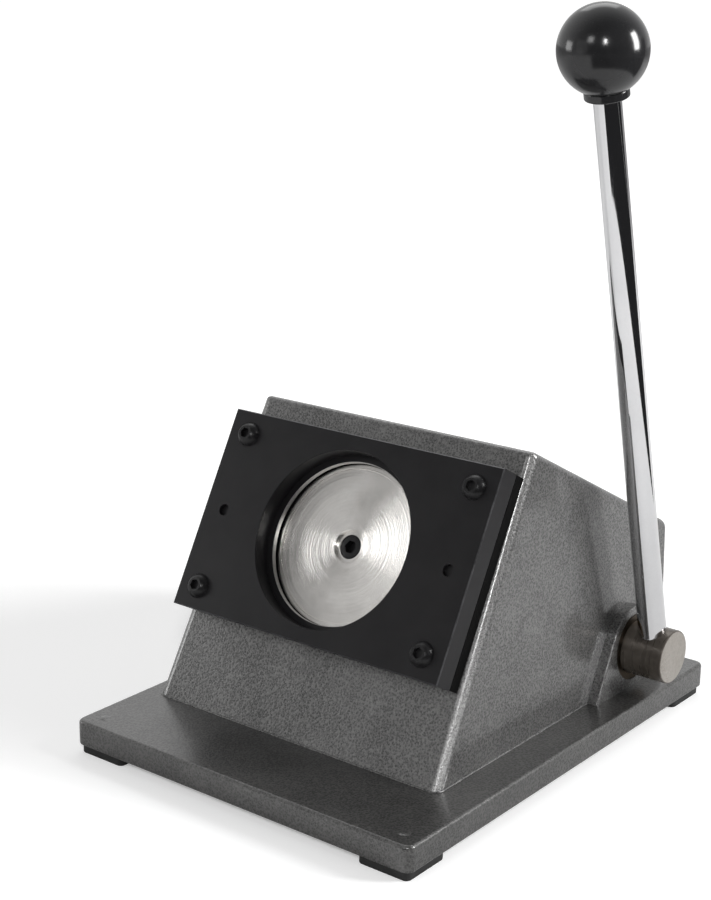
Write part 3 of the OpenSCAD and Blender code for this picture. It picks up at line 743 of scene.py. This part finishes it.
# a block with a round hole; layers are ("ring", radius, z) or ("box", inset, z)
def boredBlock(width, height, layers, count=192):
    fullTurn = 2 * math.pi
    angles = [fullTurn * i / count for i in range(count)]
    angles += [math.atan2(sideY * height, sideX * width) % fullTurn
               for sideX in (-1, 1) for sideY in (-1, 1)]
    angles = sorted(set(angles))
    verts, loops = [], []
    for kind, size, z in layers:
        loop = []
        for angle in angles:
            wayX, wayY = math.cos(angle), math.sin(angle)
            if kind == "ring":
                x, y = size * wayX, size * wayY
            else:
                reach = min(width / 2 / max(abs(wayX), 1e-9), height / 2 / max(abs(wayY), 1e-9))
                x = max(size - width / 2, min(width / 2 - size, wayX * reach))
                y = max(size - height / 2, min(height / 2 - size, wayY * reach))
            loop.append(len(verts))
            verts.append((x, y, z))
        loops.append(loop)
    faces = []
    for low, high in zip(loops, loops[1:] + loops[:1]):
        for i in range(len(low)):
            j = (i + 1) % len(low)
            faces.append([low[i], low[j], high[j], high[i]])
    return meshOf(verts, faces)


edge, mouthEdge, landTop = die["edge"], die["mouthEdge"], die["low"] + die["land"]
block = boredBlock(die["width"], die["height"], [
    ("ring", die["cut"], die["low"]), ("ring", die["cut"], landTop - 0.1),
    ("ring", die["cut"] + 0.1, landTop), ("ring", die["mouth"], landTop),
    ("ring", die["mouth"], die["high"] - mouthEdge),
    ("ring", die["mouth"] + mouthEdge, die["high"]), ("box", edge, die["high"]),
    ("box", 0, die["high"] - edge), ("box", 0, die["low"] + edge), ("box", edge, die["low"])])
tools = drills(die["screwBore"], 0, 20, screwPlaces) + drills(die["pinBore"], 0, 20, pinPlaces)
keep("die_block", placed(cut(block, joined(tools)), onFace), dieBlack, "frame", ["die_plate"])

screw = dict(head=5.4, height=3.2, flat=3.1, shank=3.0, length=25, tipEdge=0.4, headEdge=0.15, socket=4.02,
             socketLow=1.12, loose=0.6, seed=7)
drop = (screw["head"] ** 2 - screw["flat"] ** 2 - screw["height"] ** 2) / (2 * screw["height"])
domeRadius = math.hypot(screw["head"], drop)
startAngle, endAngle = math.atan2(drop, screw["head"]), math.atan2(drop + screw["height"], screw["flat"])
profile = [(0, -screw["length"]), (screw["shank"] - screw["tipEdge"], -screw["length"]),
           (screw["shank"], -screw["length"] + screw["tipEdge"]), (screw["shank"], 0),
           (screw["head"] - screw["headEdge"], 0), (screw["head"], screw["headEdge"])]
for i in range(1, 13):
    angle = startAngle + (endAngle - startAngle) * i / 12
    profile.append((domeRadius * math.cos(angle), domeRadius * math.sin(angle) - drop))
profile.append((0, screw["height"]))
head = cut(turned(profile, asDrawn, 72), hexTool(screw["socket"], screw["socketLow"], 6))
points = [place @ Vector((0, 0, die["high"])) for place in screwPlaces]
heads = repeated(head, points, blackOxide, loose=screw["loose"], seed=screw["seed"])
keep("die_button_screws", placed(heads, onFace), blackOxide, "frame", ["die_screws"])
print("die plate made")


# punch

punch = dict(radius=34.95, low=-9, high=4, rim=32.95, step=0.35, recess=7, hollow=2.5, floor=1.0,
             headBore=5.23, seat=-5, bore=3.02, lowEdge=0.5, topEdge=0.12, steps=24)
radius, high, lowEdge, topEdge = (punch[key] for key in ("radius", "high", "lowEdge", "topEdge"))
dishRim, dishEnd, dishTop = punch["rim"] - 0.1, punch["recess"] + 0.15, high - punch["step"]
profile = [(punch["bore"], punch["low"]), (radius - lowEdge, punch["low"]), (radius, punch["low"] + lowEdge),
           (radius, high - topEdge), (radius - topEdge, high), (punch["rim"] + 0.05, high),
           (dishRim, dishTop)]
for i in range(1, punch["steps"] + 1):
    profile.append((dishRim + (dishEnd - dishRim) * i / punch["steps"],
                    dishTop - (dishTop - punch["hollow"]) * i / punch["steps"]))
profile += [(punch["recess"], punch["hollow"] - topEdge), (punch["recess"], punch["floor"]),
            (punch["headBore"], punch["floor"]), (punch["headBore"], punch["seat"]),
            (punch["bore"], punch["seat"])]
keep("punch_disc", turned(profile, onFace, 192), turnedSteel, "punch_unit", ["punch"], 20)

cap = dict(radius=4.98, height=6, top=1.0, shank=3.0, length=18, socket=5.04, socketDeep=3.3)
headLow = cap["top"] - cap["height"]
profile = [(0, headLow - cap["length"]), (cap["shank"], headLow - cap["length"]), (cap["shank"], headLow),
           (cap["radius"], headLow), (cap["radius"], cap["top"] - 0.5),
           (cap["radius"] - 0.2, cap["top"] - 0.12), (cap["radius"] - 0.5, cap["top"]), (0, cap["top"])]
capMesh = cut(turned(profile, asDrawn, 96), hexTool(cap["socket"], cap["top"] - cap["socketDeep"], 5))
keep("punch_cap_screw", placed(capMesh, onFace), blackOxide, "punch_unit", ["punch_screw"])
print("punch made")


# return spring

spring = dict(turns=5.0, radius=22.0, wire=1.5, low=-77.9, high=-52.55, stroke=8)
coil = Pattern("coil", {"Turns": "Float", "Radius": "Float", "Height": "Float", "Wire": "Float",
                        "Finish": "Material"})
helix = coil.add("GeometryNodeCurveSpiral", {}, {
    "Resolution": 48, "Rotations": coil.given("Turns"), "Start Radius": coil.given("Radius"),
    "End Radius": coil.given("Radius"), "Height": coil.given("Height")})
section = coil.add("GeometryNodeCurvePrimitiveCircle", {}, {"Resolution": 14, "Radius": coil.given("Wire")})
coil.finishWith(coil.add("GeometryNodeCurveToMesh", {}, {"Curve": helix, "Profile Curve": section,
                                                         "Fill Caps": True}))
rise = spring["high"] - spring["low"]
wound = coil.grow(meshPoints([(0, 0, 0)]), {"Turns": spring["turns"], "Radius": spring["radius"],
                                           "Height": rise, "Wire": spring["wire"], "Finish": springSteel})
wound.transform(shifted(z=spring["low"]))
springPiece = keep("wound_spring", placed(tidyMesh(wound), onFace), springSteel, "frame",
                   ["return_spring"])
free = rise + 2 * spring["wire"]
(free - spring["stroke"]) / free
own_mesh(springPiece)
print("spring made")


# shaft, lever and knob

shaft = dict(radius=12, left=-70.46, right=98.96, leftEdge=0.5, edge=0.8, rodBore=6.22, threadBore=5.02)
softEdge = 0.25 * shaft["edge"]
profile = [(0, shaft["left"]), (shaft["radius"] - shaft["leftEdge"], shaft["left"]),
           (shaft["radius"], shaft["left"] + shaft["leftEdge"]),
           (shaft["radius"], shaft["right"] - shaft["edge"]),
           (shaft["radius"] - softEdge, shaft["right"] - softEdge),
           (shaft["radius"] - shaft["edge"], shaft["right"]), (0, shaft["right"])]
keyway = dict(halfLong=7.02, halfWide=3.02, low=8.98, high=14.02, turn=-3.4)
keyX, keyY = keyway["halfLong"], keyway["halfWide"]
keySlot = prism([(-keyX, -keyY), (keyX, -keyY), (keyX, keyY), (-keyX, keyY)], keyway["low"], keyway["high"])
keyTurn = Matrix.Rotation(math.radians(keyway["turn"]), 4, "X")
keySlot = placed(keySlot, shifted(body["ramX"], shaftY, shaftZ) @ keyTurn)
bar = turned(profile, onShaft)
for tool in (drill(shaft["rodBore"], 10, 40, onLever), drill(shaft["threadBore"], -5, 30, onLever), keySlot):
    bar = cut(bar, tool)
keep("cross_bar", bar, agedSteel, "lever_unit", ["cross_shaft"])

rod = dict(thread=5, threadLow=-4, threadEdge=0.6, root=10, low=6.2, top=5.4, end=253.6, stub=3.9,
           stubEnd=266.6, edge=0.5)
profile = [(0, rod["threadLow"]), (rod["thread"] - rod["threadEdge"], rod["threadLow"]),
           (rod["thread"], rod["threadLow"] + rod["threadEdge"]), (rod["thread"], rod["root"]),
           (rod["low"], rod["root"]), (rod["top"] + 0.05, rod["end"] - rod["edge"]),
           (rod["top"] - 0.35, rod["end"]), (rod["stub"], rod["end"]),
           (rod["stub"], rod["stubEnd"] - rod["edge"]), (rod["stub"] - rod["edge"], rod["stubEnd"]),
           (0, rod["stubEnd"])]
keep("lever_bar", turned(profile, onLever, 128), chrome, "lever_unit", ["lever_rod"])

collar = dict(radius=8.75, bore=3.92, low=253.6, high=257.0, lowEdge=0.6, topEdge=0.5)
profile = rounded([(collar["bore"], collar["low"]), (collar["radius"], collar["low"], collar["lowEdge"]),
                   (collar["radius"], collar["high"], collar["topEdge"]), (collar["bore"], collar["high"])])
keep("knob_ring", turned(profile, onLever, 128), knobBlack, "lever_unit", ["knob_collar"])

ball = dict(radius=17.5, centre=272, flat=257, bore=5.92, boreEnd=268.62, steps=72)
start = -math.asin((ball["centre"] - ball["flat"]) / ball["radius"])
profile = [(0, ball["boreEnd"]), (ball["bore"], ball["boreEnd"]), (ball["bore"], ball["flat"])]
for i in range(ball["steps"]):
    angle = start + (math.pi / 2 - start) * i / ball["steps"]
    profile.append((ball["radius"] * math.cos(angle), ball["centre"] + ball["radius"] * math.sin(angle)))
profile.append((0, ball["centre"] + ball["radius"]))
keep("knob_ball", turned(profile, onLever, 144), knobBlack, "lever_unit", ["ball_knob"], 50)
print("shaft, lever and knob made")


# finishes on the pieces kept from the model

# the guide plate and slot spacers take the near-black painted shade
kept = {"body_screws": blackOxide, "foot_screws": zincPlate, "right_bush": oiledBronze,
        "left_bush": bronze, "guide_plate": paintedShadowBlack, "slot_spacers": paintedShadowBlack,
        "dowel_pins": blackOxide, "ram_guide": guideSteel, "ram_bush": bronze,
        "guide_screws": blackOxide, "ram": groundSteel, "spring_seat": zincPlate,
        "seat_ring": springSteel, "roller_pin": groundSteel, "follower_roller": groundSteel,
        "cam": groundSteel, "cam_key": zincPlate, "set_collars": guideSteel,
        "collar_screws": blackOxide, "knob_insert": brass}
for node, finish in kept.items():
    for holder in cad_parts[node].material_slots:
        holder.material = finish
print("kept pieces painted")


# floor, light and camera

floor = dict(reach=40, dark=(0.83, 0.83, 0.83), light=(0.86, 0.86, 0.86), rough=(0.5, 0.7), near=0.25,
             far=1.6, lift=(0.3, 0.8))


# to the eye the card glows more with distance, so it stays white away from the lights
def floorFinish(settings):
    look = Finish("floor card")
    cloud = look.noise(3, 3, 0.5)
    shade = look.tint(look.span(cloud, 0.3, 0.7), settings["dark"], settings["light"])
    rough = look.span(cloud, 0.3, 0.7, *settings["rough"])
    lit = look.add("ShaderNodeBsdfDiffuse", {}, {"Color": shade, "Roughness": rough})
    away = look.vector("LENGTH", look.place, (0, 0, 0), 1)
    strength = look.span(away, settings["near"], settings["far"], *settings["lift"])
    lift = look.add("ShaderNodeEmission", {}, {"Color": (1.0, 1.0, 1.0), "Strength": strength})
    seen = look.add("ShaderNodeLightPath")
    both = look.add("ShaderNodeAddShader", {}, [lit, lift])
    look.add("ShaderNodeOutputMaterial", {}, {0: look.add("ShaderNodeMixShader", {}, [seen, lit, both])})
    return look.material


def staged(name, points, faces, finish):
    mesh = bpy.data.meshes.new(name)
    mesh.from_pydata(points, [], faces)
    mesh.materials.append(finish)
    piece = bpy.data.objects.new(name, mesh)
    scene.collection.objects.link(piece)
    return piece


reach = floor["reach"]
corners = [(-reach, -reach, 0), (reach, -reach, 0), (reach, reach, 0), (-reach, reach, 0)]
staged("floor", corners, [(0, 1, 2, 3)], floorFinish(floor))

aim = Vector((0, 0, 0.1))
lights = {"front light": dict(place=(0.02, -1.2, 0.86), size=(0.3, 0.3), power=1.6),
          "low left light": dict(place=(-0.4, -1.15, 0.45), size=(0.7, 0.6), power=0.5),
          "camera side light": dict(place=(0.8, -1.0, 0.82), size=(0.12, 0.24), power=4.6),
          "side light": dict(place=(1.15, 0.62, 0.66), size=(0.36, 0.7), power=20),
          "left window": dict(place=(-1.25, -0.72, 0.42), size=(0.5, 0.4), power=2.8),
          "back glow": dict(place=(-0.5, 0.75, 1.15), size=(0.8, 0.5), power=2)}
for name, settings in lights.items():
    light = bpy.data.lights.new(name, "AREA")
    light.shape = "RECTANGLE"
    light.size, light.size_y = settings["size"]
    light.energy = settings["power"]
    lamp = bpy.data.objects.new(name, light)
    lamp.location = settings["place"]
    lamp.rotation_euler = (aim - Vector(settings["place"])).to_track_quat("-Z", "Y").to_euler()
    scene.collection.objects.link(lamp)

# brighter towards the back left; plain white where it is seen directly
studio = dict(towards=(-0.75, 0.65, 0.1), low=-0.4, high=0.75, dim=0.09, bright=0.85)
world = bpy.data.worlds.new("studio")
scene.world = world
world.use_nodes = True
sky = Graph()
sky.tree = world.node_tree
sky.tree.nodes.clear()
direction = sky.add("ShaderNodeTexCoord")
behind = sky.add("ShaderNodeVectorMath", {"operation": "DOT_PRODUCT"}, [direction, studio["towards"]], 1)
glow = sky.add("ShaderNodeMapRange", {"interpolation_type": "SMOOTHSTEP"},
               [behind, studio["low"], studio["high"], studio["dim"], studio["bright"]])
seen = sky.add("ShaderNodeLightPath")
strength = sky.add("ShaderNodeMix", {"data_type": "FLOAT"}, {0: seen, 2: glow, 3: 1.0})
sky.add("ShaderNodeOutputWorld", {}, [sky.add("ShaderNodeBackground", {}, [(1, 1, 1), strength])])

# a low dark wall and a dark strip of floor that only show in reflections
wall = dict(x=0, y=0, radius=1.75, high=0.72, first=-105, last=62, shade=(0.02, 0.02, 0.021))
strip = dict(x=0.078, y=0.03, z=0.002, near=0.36, far=1.6, first=-88, last=62)
steps = 24


def ribbon(settings, edges):  # edges are (radius, height)
    points = []
    for i in range(steps + 1):
        turn = math.radians(settings["first"] + (settings["last"] - settings["first"]) * i / steps)
        points += [(settings["x"] + radius * math.cos(turn), settings["y"] + radius * math.sin(turn), height)
                   for radius, height in edges]
    return points


points = ribbon(wall, [(wall["radius"], 0), (wall["radius"], wall["high"])])
points += ribbon(strip, [(strip["near"], strip["z"]), (strip["far"], strip["z"])])
first = 2 * (steps + 1)
faces = [(start + 2 * i, start + 2 * i + 2, start + 2 * i + 3, start + 2 * i + 1)
         for start in (0, first) for i in range(steps)]
dark = Finish("dark wall")
dark.add("ShaderNodeOutputMaterial", {}, {
    0: dark.add("ShaderNodeEmission", {}, {"Color": wall["shade"], "Strength": 1.0})})
darkWall = staged("dark wall", points, faces, dark.material)
darkWall.visible_camera = darkWall.visible_diffuse = darkWall.visible_shadow = False

view = dict(azimuth=37.98, elevation=16.06, roll=0.81, target=(-68.37, 41.24, 104.71), distance=835.34,
            lens=71.64)
azimuth, elevation, roll = (math.radians(view[key]) for key in ("azimuth", "elevation", "roll"))
back = Vector((math.sin(azimuth) * math.cos(elevation), -math.cos(azimuth) * math.cos(elevation),
               math.sin(elevation)))
right = Vector((math.cos(azimuth), math.sin(azimuth), 0))
up = back.cross(right)
rightTurned = right * math.cos(roll) + up * math.sin(roll)
upTurned = up * math.cos(roll) - right * math.sin(roll)
lens = bpy.data.cameras.new("camera")
lens.sensor_fit, lens.sensor_width, lens.sensor_height = "AUTO", 36, 36
lens.lens, lens.clip_start, lens.clip_end = view["lens"], 0.01, 200
camera = bpy.data.objects.new("camera", lens)
eye = Vector(view["target"]) + back * view["distance"]
camera.matrix_world = frameOf(rightTurned, upTurned, back, eye * mm)
scene.collection.objects.link(camera)
scene.camera = camera
scene.view_settings.view_transform = "Standard"
print("light and camera set")
